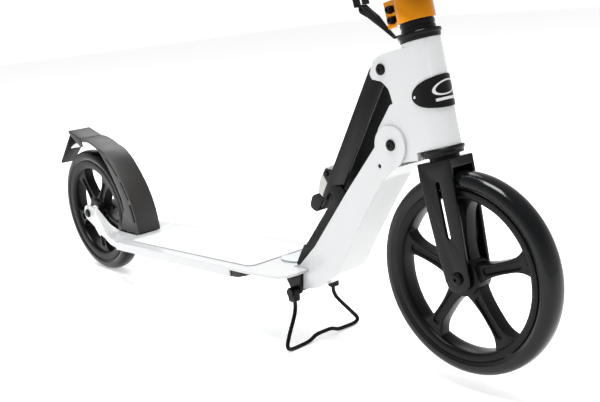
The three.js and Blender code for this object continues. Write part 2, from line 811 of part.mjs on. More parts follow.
// ---------------------------------------------------------------- rear stays, axle and fender
function stayShape() {
  const stayOuter = stayInner + stayThickness;
  const root = deckRear - gap - 0.3;
  const top = deckRearHeight;
  const bottom = deckRearHeight - deckDepth + 2;
  const axle = rearWheel.radius;
  const side = roundedShape([
    [root, bottom],
    [root, top],
    [-722, top + 1.5, 40],
    [-752, 93, 40],
    [-788, 118, 30],
    [-wheelbase + 9, axle + 13],
    [-wheelbase - 9, axle + 11.5, 8],
    [-wheelbase - 12, axle - 9, 10],
    [-788, 77, 30],
    [-762, bottom, 30],
  ]);
  const plan = roundedShape([
    [root, -stayInner],
    [root, -deckRearHalfWidth + 1.5, 3],
    [-700, -57, 40],
    [-760, -stayOuter - 8, 60],
    [-800, -stayOuter, 30],
    [-wheelbase - 30, -stayOuter],
    [-wheelbase - 30, -stayInner],
  ]);
  const profile = plate(side, -80, 0);
  const lobe = rodY(stayLobe, -80, 0, -wheelbase, axle, 32);
  const hole = rodY(axleRadius + gap, -90, 10, -wheelbase, axle, 16);
  const pinHole = rodY(fenderPinRadius + gap, -stayInner - 6, 10, fenderHinge.x, fenderHinge.y, 16);
  return cut(join(profile, lobe).intersect(slab(plan, 0, 200)), hole, pinHole);
}
const stay = stayShape();
piece("rear_stay_right", stay, whitePaint(), scooter);
piece("rear_stay_left", stay.mirror([0, 1, 0]), whitePaint(), scooter);

const rearAxle = axleShape(stayInner + stayThickness).translate([-wheelbase, 0, rearWheel.radius]);
piece("rear_axle", rearAxle, bareSteel(), scooter);
const fenderPin = rodY(fenderPinRadius, -stayInner - 5, stayInner + 5, fenderHinge.x, fenderHinge.y, 16);
piece("fender_pin", fenderPin, bareSteel(), scooter);

const fenderParts = joint(fenderGroup, -fenderHinge.x, 0, -fenderHinge.y);
const seamAngle = 86 * degrees;
const aroundAxle = (radius, angle) =>
  new THREE.Vector2(-wheelbase + radius * Math.cos(angle), rearWheel.radius + radius * Math.sin(angle));

function arcLine(radius, from, to, steps) {
  const points = [];
  for (let step = 0; step <= steps; step += 1) {
    points.push(aroundAxle(radius, from + ((to - from) * step) / steps));
  }
  return points;
}

function fenderShape() {
  const base = deckRearHeight + 2.4;
  const roundEnd = 63 * degrees;
  const falling = [
    aroundAxle(fenderRadius, roundEnd),
    new THREE.Vector2(-741, 218.5),
    new THREE.Vector2(-721, 205),
    new THREE.Vector2(-703.5, 186),
    new THREE.Vector2(-688, 165),
    new THREE.Vector2(-678, 147),
    new THREE.Vector2(-671, 128),
    new THREE.Vector2(-667, 109),
    new THREE.Vector2(-665, base),
  ];
  const fall = new THREE.SplineCurve(falling).getPoints(20);
  const outer = [...arcLine(fenderRadius, seamAngle, roundEnd, 6), ...fall.slice(1)];
  const inner = offsetLine(outer, -fenderSkin).reverse();
  const lip = [
    new THREE.Vector2(-700, base),
    new THREE.Vector2(-724, base + 2),
    new THREE.Vector2(-711, 108),
    new THREE.Vector2(-701, 124),
    new THREE.Vector2(-703.5, 142),
    new THREE.Vector2(-712, 160),
    new THREE.Vector2(-722, 178),
    new THREE.Vector2(-733, 196),
    new THREE.Vector2(-745, 209.5),
  ];
  const half = fenderHalfWidth;
  const sheet = plate(new THREE.Shape([...outer, ...inner]), -half, half);
  const wall = plate(new THREE.Shape([...fall, ...lip]), half - 2, half);
  const walls = [wall, wall.mirror([0, 1, 0])];
  const barrel = rodY(6.4, -18, 18, fenderHinge.x, fenderHinge.y, 24);
  const bridge = roundedShape([
    [fenderHinge.x - 6, fenderHinge.y + 1],
    [fenderHinge.x - 8, base + 9, 3],
    [-667.6, base + 9],
    [-665.4, base],
    [deckRear - 1.5, base],
    [deckRear - 2.6, fenderHinge.y],
  ]);
  // Three slots follow the sheet's edge down each side wall; the last is the widest.
  const slots = [
    [4, 8, 3.4],
    [9, 13, 3.6],
    [14, 18, 5.4],
  ].map(([from, to, width]) => {
    const top = offsetLine(fall, -3.6).slice(from, to + 1);
    const foot = offsetLine(fall, -3.6 - width).slice(from, to + 1);
    return plate(new THREE.Shape([...top, ...foot.reverse()]), -40, 40);
  });
  const shell = join(sheet, ...walls.map((side) => cut(side, ...slots)));
  const bore = rodY(fenderPinRadius + gap, -40, 40, fenderHinge.x, fenderHinge.y, 16);
  return cut(join(shell, barrel, plate(bridge, -18, 18)), bore);
}
piece("fender", fenderShape(), blackPlastic(), fenderParts);

// The flat tail that the foot presses, and the flap that hangs from it.
const tailStart = aroundAxle(fenderRadius, seamAngle).add(new THREE.Vector2(-4 * gap, 0));
const tailEnd = tailStart.clone().add(new THREE.Vector2(-tailLength, tailLength * Math.tan(tailSlope)));
function tailShape() {
  const side = new THREE.Shape([
    tailStart,
    tailEnd,
    new THREE.Vector2(tailEnd.x, tailEnd.y - 5),
    new THREE.Vector2(tailEnd.x + 14, tailEnd.y - 14),
    new THREE.Vector2(tailStart.x - 8, tailStart.y - 14),
    new THREE.Vector2(tailStart.x, tailStart.y - 15),
  ]);
  const inside = new THREE.Shape([
    new THREE.Vector2(tailStart.x + 5, tailStart.y - fenderSkin),
    new THREE.Vector2(tailEnd.x + fenderSkin, tailEnd.y - fenderSkin - 0.7),
    new THREE.Vector2(tailEnd.x + fenderSkin, tailEnd.y - 40),
    new THREE.Vector2(tailStart.x + 5, tailStart.y - 40),
  ]);
  const half = fenderHalfWidth;
  return cut(plate(side, -half, half), plate(inside, 2 - half, half - 2));
}
piece("fender_tail", tailShape(), blackPlastic(), fenderParts);

function flapShape() {
  const rootHalf = fenderHalfWidth - 2.6;
  const outline = roundedShape([
    [0, -rootHalf],
    [0, rootHalf],
    [-flapLength, 13.5, 4],
    [-flapLength, -13.5, 4],
  ]);
  const sheet = new THREE.ExtrudeGeometry(outline, { depth: 2.5, bevelEnabled: false });
  sheet.rotateY(-flapSlope);
  return solid(sheet.translate(tailEnd.x + 0.5, 0, tailEnd.y - 9));
}
piece("mud_flap", flapShape(), blackRubber(), fenderParts);

// ---------------------------------------------------------------- centre stand
function standWireShape() {
  const foot = standFootHeight - standPivot.y;
  const side = [
    [0, standTopSpread, -6.6],
    [0, standTopSpread, -20],
    [1.5, standTopSpread + 4, -30],
    [standReach - 3, standFootSpread - 5, foot + 14],
    [standReach, standFootSpread, foot + 4.5],
    [standReach, standFootSpread - 5.5, foot + 0.3],
    [standReach, standFootSpread - 22, foot],
    [standReach, standFootSpread - 37, foot + 1],
    [standReach, standFootSpread - 50, foot + 5.5],
  ];
  const right = side.map(([x, y, z]) => new THREE.Vector3(x, -y, z));
  const left = side.map(([x, y, z]) => new THREE.Vector3(x, y, z)).reverse();
  return wire([...right, new THREE.Vector3(standReach, 0, foot + 6.2), ...left], standWireRadius, 44, 6);
}
piece("stand_wire", standWireShape(), blackPaint(), stand);

const bracketInner = neckHalfWidth + 1.2;
const knuckleInner = bracketInner + 5;
const knuckleOuter = knuckleInner + 10;
function knuckleShape() {
  const outline = roundedShape([
    [-7.5, 6.5, 6],
    [7.5, 6.5, 6],
    [6.5, -12.5, 3],
    [-5.5, -12.5, 3],
  ]);
  const block = plate(outline, knuckleInner + 0.4, knuckleOuter);
  const socket = rodZ(standWireRadius + gap, -30, -6.2, 12).translate([0, standTopSpread, 0]);
  return cut(block, rodY(standPinRadius + gap, 0, 80, 0, 0, 16), socket);
}
const knuckle = knuckleShape();
piece("stand_knuckle_left", knuckle, blackPlastic(), stand);
piece("stand_knuckle_right", knuckle.mirror([0, 1, 0]), blackPlastic(), stand);

// The bracket hangs under the deck's skin each side of the neck and carries the stand's pin.
const deckUnderside = (x) => deckRearHeight + (x - deckRear) * Math.tan(deckSlope) - deckSkin;
function bracketShape() {
  const low = standPivot.y - 7.5;
  const high = deckUnderside(-292) - gap - 0.5;
  const lug = roundedShape([
    [-284, high],
    [-250, high],
    [-255, low + 3, 6],
    [-269, low + 3, 6],
    [-284, high - 6, 2],
  ]);
  const pad = box([34, 20, 4], [-267, bracketInner + 10, high - 2]);
  return cut(
    join(plate(lug, bracketInner, knuckleInner), pad),
    rodY(standPinRadius + gap, 0, 80, standPivot.x, standPivot.y, 16),
  );
}
const bracket = bracketShape();
piece("stand_bracket_left", bracket, blackPaint(), scooter);
piece("stand_bracket_right", bracket.mirror([0, 1, 0]), blackPaint(), scooter);
const standPinShape = crossBolt(standPinRadius, 6, knuckleOuter, 1.6, standPivot.x, standPivot.y);
piece("stand_pin", standPinShape, bareSteel(), scooter);

// The steel plate under the tail that rubs on the tyre when the tail is pressed.
function brakePlateShape() {
  const plateRadius = rearWheel.radius + 14;
  const from = seamAngle + 4 * degrees;
  const to = from + 26 * degrees;
  const outline = [...arcLine(plateRadius + 2, from, to, 6), ...arcLine(plateRadius, to, from, 6)];
  return plate(new THREE.Shape(outline), -12, 12);
}
piece("brake_plate", brakePlateShape(), bareSteel(), fenderParts);

// ---------------------------------------------------------------- column, its clamp and the carrying strap
const nutFrom = headTubeTop + ringHeight + gap;
const columnFrom = nutFrom + spacerHeight + gap;
const nut = tubeZ(spacerRadius, steererRadius + gap, nutFrom, nutFrom + spacerHeight, 26);
piece("headset_nut", nut, blackPaint(), steering);
const column = tubeZ(columnRadius, columnRadius - columnWall, columnFrom, columnTop, 26);
piece("column", column, whitePaint(), steering);

function clampShape() {
  const inner = columnRadius + gap;
  const outer = inner + clampWall;
  const top = columnFrom + clampHeight;
  const ring = tubeZ(outer, inner, columnFrom, top, 28);
  const reach = -outer - clampEarLength + 2;
  const length = clampEarLength + 4;
  const depth = clampEarThickness;
  const middle = columnFrom + clampHeight / 2;
  const left = box([length, depth - 1, clampHeight], [reach + length / 2, (depth + 1) / 2, middle]);
  const right = left.mirror([0, 1, 0]);
  const slot = box([20, clampSlot, clampHeight + 2], [-outer, 0, middle]);
  const tools = [-1, 1].map((side) => {
    const height = middle + (side * clampBoltSpacing) / 2;
    return rodY(clampBoltRadius + gap, -20, 20, reach + 7, height, 14);
  });
  return cut(join(ring, left, right), rodZ(inner, 0, 400, 28), slot, ...tools);
}
piece("column_clamp", clampShape(), goldAnodised(), steering);
const clampEar = -columnRadius - gap - clampWall - clampEarLength + 2;
const clampMiddle = columnFrom + clampHeight / 2;
["lower", "upper"].forEach((name, index) => {
  const height = clampMiddle + (index - 0.5) * clampBoltSpacing;
  const bolt = crossBolt(clampBoltRadius, clampBoltHead, clampEarThickness, 4, clampEar + 7, height);
  piece(`clamp_bolt_${name}`, bolt, bareSteel(), steering);
});

// The strap's hook: a thin tab under the clamp, bent back and up to an eye between the two strands.
const strapFoot = -72;
function strapHookShape() {
  const low = nutFrom + gap;
  const arm = roundedShape([
    [-spacerRadius - 0.6, low],
    [-34, low, 4],
    [-49, low + 15, 4],
    [-66, low + 31, 8],
    [-77, low + 39, 5],
    [-76, low + 47, 5],
    [-68, low + 46, 5],
    [-61, low + 38, 6],
    [-52, low + 29, 3],
    [-45, low + 17, 4],
    [-34.5, low + 2.4, 4],
    [-spacerRadius - 0.6, low + 2.4],
  ]);
  return cut(plate(arm, -2.6, 2.6), rodY(2.4, -10, 10, strapFoot, low + 42, 16));
}
piece("strap_hook", strapHookShape(), blackPlastic(), steering);

// Two strands of webbing run from the hook up to a ring round the column.
const strapRingHeight = 520;
function strapStrand(offset) {
  const line = [
    [strapFoot - offset, clampMiddle + 21],
    [strapFoot + 2 - offset * 1.3, clampMiddle + 80],
    [strapFoot + 17 - offset, strapRingHeight - 60],
    [-columnRadius - 9 - offset * 0.4, strapRingHeight],
  ].map(([x, z]) => new THREE.Vector2(x, z));
  const curve = new THREE.SplineCurve(line).getPoints(14);
  const edge = offsetLine(curve, 1.6).reverse();
  return plate(new THREE.Shape([...curve, ...edge]), -5, 5);
}
piece("strap_strand_front", strapStrand(-6.5), blackPlastic(), steering);
piece("strap_strand_rear", strapStrand(6.5), blackPlastic(), steering);
const strapRingTube = tubeZ(columnRadius + 3.5, columnRadius + gap, strapRingHeight + 4, strapRingHeight + 16, 26);
const strapLug = box([10, 14, 12], [-columnRadius - 7.5, 0, strapRingHeight + 10]);
piece("strap_ring", join(strapRingTube, strapLug), blackPlastic(), steering);

// ---------------------------------------------------------------- quick release at the column's top
const releaseMiddle = columnTop - 14;
const releaseEar = -columnRadius - 19;
function releaseClampShape() {
  const inner = columnRadius + gap;
  const outer = inner + 4.5;
  const ring = tubeZ(outer, inner, releaseMiddle - 13, releaseMiddle + 13, 28);
  const ears = box([18, 14, 26], [releaseEar + 9, 0, releaseMiddle]);
  const slot = box([24, 3, 30], [releaseEar + 9, 0, releaseMiddle]);
  const bore = rodZ(inner, releaseMiddle - 20, releaseMiddle + 20, 28);
  const hole = rodY(clampBoltRadius + gap, -20, 20, releaseEar + 6, releaseMiddle, 14);
  return cut(join(ring, ears), slot, bore, hole);
}
piece("quick_release_clamp", releaseClampShape(), blackPaint(), steering);
const leverPivot = columnRadius - 2;
function releaseBoltShape() {
  const x = releaseEar + 6;
  const shaft = rodY(clampBoltRadius, -7 - gap, leverPivot, x, releaseMiddle, 14);
  const head = rodY(5, -7 - gap - 4, -7 - gap, x, releaseMiddle, 6);
  const barrel = rodZ(3, releaseMiddle - 8, releaseMiddle + 8, 16).translate([x, leverPivot, 0]);
  return join(shaft, head, barrel);
}
piece("quick_release_bolt", releaseBoltShape(), bareSteel(), steering);

const lever = joint(steering, releaseEar + 6, leverPivot, releaseMiddle);
function leverShape() {
  const outline = roundedShape([
    [-7, -7, 5],
    [6, -7, 4],
    [12, 9, 6],
    [62, 10, 4],
    [62, 15, 4],
    [4, 15, 8],
    [-7, 6, 6],
  ]);
  const blade = slab(outline, -7, 7);
  const bore = rodZ(3 + gap, -20, 20, 16);
  const throat = box([20, 16, 6.4], [0, -3, 0]);
  return cut(blade, bore, throat);
}
piece("quick_release_lever", leverShape(), blackPlastic(), lever);

// ---------------------------------------------------------------- handlebar
const sleeveRadius = barRadius + gap + 3.4;
function postShape() {
  const tube = tubeZ(postRadius, postRadius - postWall, columnTop - postInsertion, handlebarHeight - 4, 32);
  const sleeve = rodY(sleeveRadius, -30, 30, 0, handlebarHeight, 24);
  return cut(join(tube, sleeve), rodY(barRadius + gap, -40, 40, 0, handlebarHeight, 24));
}
piece("handle_post", postShape(), whitePaint(), handle);
const barHalf = barLength / 2;
const bar = cut(
  rodY(barRadius, -barHalf, barHalf, 0, handlebarHeight, 24),
  rodY(barRadius - 1.8, -barHalf - 1, barHalf + 1, 0, handlebarHeight, 24),
);
piece("crossbar", bar, blackPaint(), handle);
function gripShape() {
  const end = barHalf + gap;
  const sleeve = rodY(gripRadius, barHalf - gripLength, end + 4, 0, handlebarHeight, 24);
  const flange = rodY(gripRadius + 4, barHalf - gripLength, barHalf - gripLength + 5, 0, handlebarHeight, 24);
  return cut(join(sleeve, flange), rodY(barRadius + gap, 0, end, 0, handlebarHeight, 24));
}
const grip = gripShape();
piece("grip_left", grip, blackRubber(), handle);
piece("grip_right", grip.mirror([0, 1, 0]), blackRubber(), handle);

// ---------------------------------------------------------------- standing on its rear wheel and stand
// The stand lifts the front wheel, so the scooter is tipped until the rear tyre and the stand's feet are level.
const standSink = standWireRadius - standFootHeight;
scooter.rotation.y = -Math.atan2(standSink, wheelbase + standPivot.x + standReach);
const standing = new THREE.Group();
standing.add(scooter);
standing.updateMatrixWorld(true);
const bounds = new THREE.Box3().setFromObject(standing, true);
const middle = bounds.getCenter(new THREE.Vector3());
standing.position.set(-middle.x, -middle.y, -bounds.min.z);
standing.updateMatrixWorld(true);

export default standing;
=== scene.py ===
# %% [markdown]
# A folding kick scooter for the family. The mechanical frame arrives with every tube, plate and bolt
# at its real size, and each moving piece already riding on its body. This lesson gives those pieces
# their finishes, and remakes the ones that a simple solid can't describe: wheels, tubes, guards and grips.

import json
import math

import bpy
from mathutils import Matrix, Vector


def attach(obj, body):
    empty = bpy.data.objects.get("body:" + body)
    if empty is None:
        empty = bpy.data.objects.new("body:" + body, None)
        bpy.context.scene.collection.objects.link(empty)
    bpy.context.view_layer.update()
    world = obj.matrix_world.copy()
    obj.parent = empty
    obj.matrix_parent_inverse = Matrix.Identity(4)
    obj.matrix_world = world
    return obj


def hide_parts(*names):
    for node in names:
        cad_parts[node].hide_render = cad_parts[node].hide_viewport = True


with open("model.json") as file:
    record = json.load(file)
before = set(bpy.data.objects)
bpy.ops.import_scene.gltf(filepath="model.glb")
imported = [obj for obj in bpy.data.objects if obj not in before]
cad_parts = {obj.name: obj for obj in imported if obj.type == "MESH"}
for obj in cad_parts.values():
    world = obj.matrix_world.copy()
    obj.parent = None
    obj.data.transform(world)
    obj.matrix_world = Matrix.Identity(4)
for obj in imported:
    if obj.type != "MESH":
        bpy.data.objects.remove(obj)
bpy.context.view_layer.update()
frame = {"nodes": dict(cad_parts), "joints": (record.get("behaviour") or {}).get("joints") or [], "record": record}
nodes = frame["nodes"]

# %% [markdown]
# The scooter was drawn level, with the front axle above the origin, and then tipped until its rear tyre
# and its stand touch the floor. Two small helpers turn the drawing's millimetres into metres in the
# frame: level() for anything on the deck's side of the fold, and column() for anything measured along
# the leaned steering axis. Both read the frame's own joints, so they stay right if a size changes.

# %% Places in the frame
joints = {joint["name"]: joint for joint in frame["joints"]}
front_axle = Vector(joints["front_spin"]["pos_m"])
rear_axle = Vector(joints["rear_spin"]["pos_m"])
steer_axis = Vector(joints["steer"]["axis"]).normalized()
FRONT_RADIUS = 0.115
lean = math.radians(10.9)
tip = math.atan2(-steer_axis.x, steer_axis.z) - lean
level_x = Vector((math.cos(tip), 0, math.sin(tip)))
level_z = Vector((-math.sin(tip), 0, math.cos(tip)))
column_x = Vector((steer_axis.z, 0, -steer_axis.x))
side = Vector((0, 1, 0))


def level(x, y, z):
    return front_axle + level_x * (x / 1000) + side * (y / 1000) + level_z * (z / 1000 - FRONT_RADIUS)


def column(u, y, w):
    return front_axle + column_x * (u / 1000) + side * (y / 1000) + steer_axis * (w / 1000)


print("tipped back by", round(math.degrees(tip), 3), "degrees")

# %% [markdown]
# The camera comes first, so that every later choice is judged from the same place. It stands in front
# of the scooter on its right, a little above the deck, and is rolled slightly. Its lens is fairly long.
# A small vertical shift puts its axis below the middle of the view.

# %% Camera
yaw, pitch, roll = 0.688, 0.312, -0.112
forward = (
    level_x * (-math.cos(yaw) * math.cos(pitch))
    + side * (math.sin(yaw) * math.cos(pitch))
    - level_z * math.sin(pitch)
)
right = forward.cross(level_z).normalized()
above = right.cross(forward)
right, above = (
    right * math.cos(roll) + above * math.sin(roll),
    above * math.cos(roll) - right * math.sin(roll),
)
lens_data = bpy.data.cameras.new("camera")
lens_data.sensor_width = 36
lens_data.lens = 52.28
lens_data.shift_y = 0.1507
lens_data.clip_start = 0.02
camera = bpy.data.objects.new("camera", lens_data)
turn = Matrix((right, above, -forward)).transposed()
camera.matrix_world = Matrix.Translation(level(581.39, -717.55, 409.03)) @ turn.to_4x4()
bpy.context.collection.objects.link(camera)
bpy.context.scene.camera = camera
print("camera at", tuple(round(v, 3) for v in camera.location))

# %% [markdown]
# A white product table: a pale floor that glows a little, a surround that is white at the horizon and
# greyer overhead, and two large soft lamps. The key lamp is almost overhead, so that upward faces are the
# brightest, and a weaker one behind draws the bright edges on the black pieces.

# %% Floor and lights
bpy.ops.object.select_all(action="DESELECT")
bpy.ops.mesh.primitive_plane_add(size=16, location=(0, 0, 0))
floor = bpy.context.object
floor.name = "floor"
floor_paint = bpy.data.materials.new("floor")
floor_paint.use_nodes = True
floor_shader = floor_paint.node_tree.nodes["Principled BSDF"]
floor_shader.inputs["Base Color"].default_value = (0.96, 0.96, 0.96, 1)
floor_shader.inputs["Roughness"].default_value = 0.8
floor_shader.inputs["Emission Color"].default_value = (1, 1, 1, 1)
floor_shader.inputs["Emission Strength"].default_value = 0.42
floor.data.materials.append(floor_paint)
world = bpy.data.worlds.new("studio")
world.use_nodes = True
sky = world.node_tree
sky.nodes["Background"].inputs["Strength"].default_value = 1.12
direction = sky.nodes.new("ShaderNodeTexCoord")
parts = sky.nodes.new("ShaderNodeSeparateXYZ")
sky.links.new(direction.outputs["Generated"], parts.inputs["Vector"])
fade = sky.nodes.new("ShaderNodeMapRange")
fade.inputs["From Min"].default_value = 0.06
fade.inputs["From Max"].default_value = 0.5
fade.inputs["To Min"].default_value = 1.0
fade.inputs["To Max"].default_value = 0.42
sky.links.new(parts.outputs["Z"], fade.inputs["Value"])
sky.links.new(fade.outputs["Result"], sky.nodes["Background"].inputs["Color"])
bpy.context.scene.world = world
bpy.context.scene.view_settings.view_transform = "Standard"


def lamp(name, place, size, power, aim=Vector((0.1, 0, 0.2))):
    light = bpy.data.lights.new(name, "AREA")
    light.size = size
    light.energy = power
    made = bpy.data.objects.new(name, light)
    made.location = place
    made.rotation_euler = (aim - Vector(place)).to_track_quat("-Z", "Y").to_euler()
    bpy.context.collection.objects.link(made)
    return made


lamp("key lamp", (0.2, -0.4, 3.0), 1.2, 110)
lamp("rear lamp", (-1.7, 1.5, 2.2), 1.6, 26)
print("floor, surround and two lamps")

# %% [markdown]
# Every finish is a small node tree. Noise read from Object coordinates varies the colour and the
# roughness a little, as real paint and plastic do. A finer noise gives the grain as bump, and the Bevel
# node rounds the light on sharp edges by the radius that a pressed or moulded edge has.


# %% A finish made of nodes
def finish(
    name, colour, roughness, metal=0.0, grain=900, grain_depth=0.00002, edge=0.0009, vary=0.08, coat=0.0, gleam=0.5
):
    made = bpy.data.materials.new(name)
    made.use_nodes = True
    tree = made.node_tree
    shader = tree.nodes["Principled BSDF"]
    shader.inputs["Metallic"].default_value = metal
    shader.inputs["Coat Weight"].default_value = coat
    shader.inputs["Specular IOR Level"].default_value = gleam
    shader.inputs["Coat Roughness"].default_value = 0.08
    place = tree.nodes.new("ShaderNodeTexCoord")
    cloud = tree.nodes.new("ShaderNodeTexNoise")
    cloud.inputs["Scale"].default_value = 14
    cloud.inputs["Detail"].default_value = 4
    tree.links.new(place.outputs["Object"], cloud.inputs["Vector"])
    tint = tree.nodes.new("ShaderNodeValToRGB")
    tint.color_ramp.elements[0].position = 0.3
    tint.color_ramp.elements[1].position = 0.7
    tint.color_ramp.elements[0].color = (*[c * (1 - vary) for c in colour], 1)
    tint.color_ramp.elements[1].color = (*[min(1, c * (1 + vary)) for c in colour], 1)
    tree.links.new(cloud.outputs["Fac"], tint.inputs["Fac"])
    tree.links.new(tint.outputs["Color"], shader.inputs["Base Color"])
    wear = tree.nodes.new("ShaderNodeMapRange")
    wear.inputs["To Min"].default_value = roughness * 0.85
    wear.inputs["To Max"].default_value = roughness * 1.15
    tree.links.new(cloud.outputs["Fac"], wear.inputs["Value"])
    tree.links.new(wear.outputs["Result"], shader.inputs["Roughness"])
    fine = tree.nodes.new("ShaderNodeTexNoise")
    fine.name = "grain"
    fine.inputs["Scale"].default_value = grain
    tree.links.new(place.outputs["Object"], fine.inputs["Vector"])
    bump = tree.nodes.new("ShaderNodeBump")
    bump.name = "bump"
    bump.inputs["Distance"].default_value = grain_depth
    bump.inputs["Strength"].default_value = 0.6
    tree.links.new(fine.outputs["Fac"], bump.inputs["Height"])
    rounding = tree.nodes.new("ShaderNodeBevel")
    rounding.samples = 6
    rounding.inputs["Radius"].default_value = edge
    tree.links.new(rounding.outputs["Normal"], bump.inputs["Normal"])
    tree.links.new(bump.outputs["Normal"], shader.inputs["Normal"])
    return made


white_paint = finish("white paint", (0.52, 0.53, 0.535), 0.3, grain=500, grain_depth=0.00001, coat=0.3, vary=0.01)
black_paint = finish("black paint", (0.0025, 0.0025, 0.003), 0.28, grain=1400, coat=0.06, gleam=0.1)
cast_black = finish(
    "black cast alloy", (0.0022, 0.0022, 0.0026), 0.22, grain=1400, edge=0.0026, coat=0.1, gleam=0.12
)
fender_black = finish(
    "black fender plastic", (0.010, 0.0088, 0.008), 0.42, grain=2000, vary=0.12, edge=0.0022, gleam=0.55
)
black_plastic = finish("black moulded plastic", (0.003, 0.003, 0.0034), 0.3, grain=1800, vary=0.15, gleam=0.12)
tyre_rubber = finish(
    "tyre", (0.0022, 0.0026, 0.003), 0.15, grain=2200, grain_depth=0.00001, vary=0.2, coat=0.12, gleam=0.16
)
soft_rubber = finish("soft rubber", (0.005, 0.005, 0.005), 0.5, grain=1600, grain_depth=0.00004, gleam=0.2)
gold = finish("gold anodised alloy", (0.52, 0.185, 0.008), 0.16, metal=1.0, grain=1200, grain_depth=0.000005)
alloy = finish("polished alloy", (0.4, 0.395, 0.38), 0.3, metal=0.5, grain=700, vary=0.05)
# A lighter black whose extra brightness is painted sheen, standing in for light on the strut's inside.
painted_sheen_black = finish("black paint with painted sheen", (0.045, 0.047, 0.047), 0.4, grain=1400, gleam=0.4)
steel = finish("plated steel", (0.5, 0.51, 0.52), 0.25, metal=1.0, grain=900)
grey_rubber = finish("grey rubber", (0.52, 0.55, 0.56), 0.55, grain=1500, grain_depth=0.00004)
pad_rubber = finish("pale grip tape", (0.56, 0.57, 0.572), 0.7, grain=2600, grain_depth=0.00008, vary=0.02, gleam=0.3)
webbing = finish("black webbing", (0.008, 0.008, 0.008), 0.75, grain=2400, grain_depth=0.0001, gleam=0.2)
print(len(bpy.data.materials), "finishes")

# %% [markdown]
# Two ways of shaping cover most pieces. Round things, such as tyres, rims and tubes, are a closed
# outline spun about their axis. Flat things, such as spokes and cheeks, are an outline given a
# thickness. Both start from a circle primitive whose corners are moved to the outline.


# %% Shaping helpers
def fresh():
    bpy.ops.object.select_all(action="DESELECT")


def outline_object(name, points, filled):
    fresh()
    fill = "NGON" if filled else "NOTHING"
    bpy.ops.mesh.primitive_circle_add(vertices=len(points), fill_type=fill, radius=0.01)
    made = bpy.context.object
    made.name = name
    made.data.name = name
    for vertex, point in zip(made.data.vertices, points):
        vertex.co = point
    return made


def smooth(piece, angle=32):
    fresh()
    piece.select_set(True)
    bpy.context.view_layer.objects.active = piece
    bpy.ops.object.shade_smooth_by_angle(angle=math.radians(angle))


def use_modifier(piece, kind, **settings):
    fresh()
    piece.select_set(True)
    bpy.context.view_layer.objects.active = piece
    modifier = piece.modifiers.new(kind.lower(), kind)
    for key, value in settings.items():
        setattr(modifier, key, value)
    bpy.ops.object.modifier_apply(modifier=modifier.name)


def soften(piece, width, segments=3, angle=35):
    settings = {"width": width / 1000, "segments": segments, "limit_method": "ANGLE"}
    use_modifier(piece, "BEVEL", angle_limit=math.radians(angle), **settings)


def turned(name, profile, centre, axis, across, steps=96):
    points = [centre + across * (r / 1000) + axis * (a / 1000) for r, a in profile]
    made = outline_object(name, points, False)
    bpy.ops.object.mode_set(mode="EDIT")
    bpy.ops.mesh.select_all(action="SELECT")
    bpy.ops.mesh.spin(steps=steps, angle=math.tau, center=centre, axis=axis)
    bpy.ops.mesh.select_all(action="SELECT")
    bpy.ops.mesh.remove_doubles(threshold=0.00001)
    bpy.ops.mesh.dissolve_degenerate(threshold=0.000001)
    bpy.ops.mesh.normals_make_consistent(inside=False)
    bpy.ops.object.mode_set(mode="OBJECT")
    smooth(made)
    return made


def thick(name, points, thickness):
    made = outline_object(name, points, True)
    bpy.ops.object.mode_set(mode="EDIT")
    bpy.ops.mesh.select_all(action="SELECT")
    bpy.ops.mesh.extrude_region_move(TRANSFORM_OT_translate={"value": thickness})
    bpy.ops.mesh.select_all(action="SELECT")
    bpy.ops.mesh.normals_make_consistent(inside=False)
    bpy.ops.object.mode_set(mode="OBJECT")
    return made


def rounded(corners, steps=8):
    """An outline through corners (x, z, how far each is rounded)."""
    out = []
    for i, (x, z, cut) in enumerate(corners):
        here = Vector((x, z))
        before = Vector(corners[i - 1][:2]) - here
        after = Vector(corners[(i + 1) % len(corners)][:2]) - here
        if not cut:
            out.append(here)
            continue
        start = here + before.normalized() * min(cut, before.length * 0.45)
        end = here + after.normalized() * min(cut, after.length * 0.45)
        for k in range(steps + 1):
            t = k / steps
            out.append(start.lerp(here, t).lerp(here.lerp(end, t), t))
    return out


def joined(name, pieces):
    fresh()
    for piece in pieces:
        piece.select_set(True)
    bpy.context.view_layer.objects.active = pieces[0]
    bpy.ops.object.join()
    pieces[0].name = name
    return pieces[0]


def copy_of(piece, name, matrix):
    made = piece.copy()
    made.data = piece.data.copy()
    made.name = name
    made.data.name = name
    bpy.context.collection.objects.link(made)
    made.data.transform(matrix)
    if matrix.determinant() < 0:
        made.data.flip_normals()
    return made


body_of_node = {n: body for body, names in frame["record"]["behaviour"]["bodies"].items() for n in names}


def done(piece, paint, *stands_for):
    piece.data.materials.clear()
    piece.data.materials.append(paint)
    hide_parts(*stands_for)
    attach(piece, body_of_node[stands_for[0]])
    print(piece.name, len(piece.data.polygons), "faces, on", body_of_node[stands_for[0]])
    return piece


print("helpers ready")

# %% [markdown]
# A wheel is a hard black tyre on a cast rim. The tyre's section is spun: nearly flat flanks, a soft
# shoulder and a round tread, with a fine step where the tyre meets the rim. The rim is a spun ring and
# hub with five spokes. Each spoke is a plate that flares at both ends, and a pocket is cut in each of its
# two faces, which leaves the raised border that casting gives.

# %% Wheels
WHEELS = {
    "front": {
        "centre": front_axle, "radius": 115.0, "half": 14.5, "rim": 97.0, "open": 87.6, "spoke": 7.0, "phase": 18.0,
    },
    "rear": {
        "centre": rear_axle, "radius": 107.5, "half": 14.35, "rim": 90.0, "open": 75.5, "spoke": 8.5, "phase": 51.0,
    },
}
SPOKES = 5
SPOKE_HALF_DEPTH = 8.2
POCKET_FLOOR = 5.2  # from the wheel's middle plane
POCKET_REACH = 12.0  # the cutter ends well clear of the spoke's face


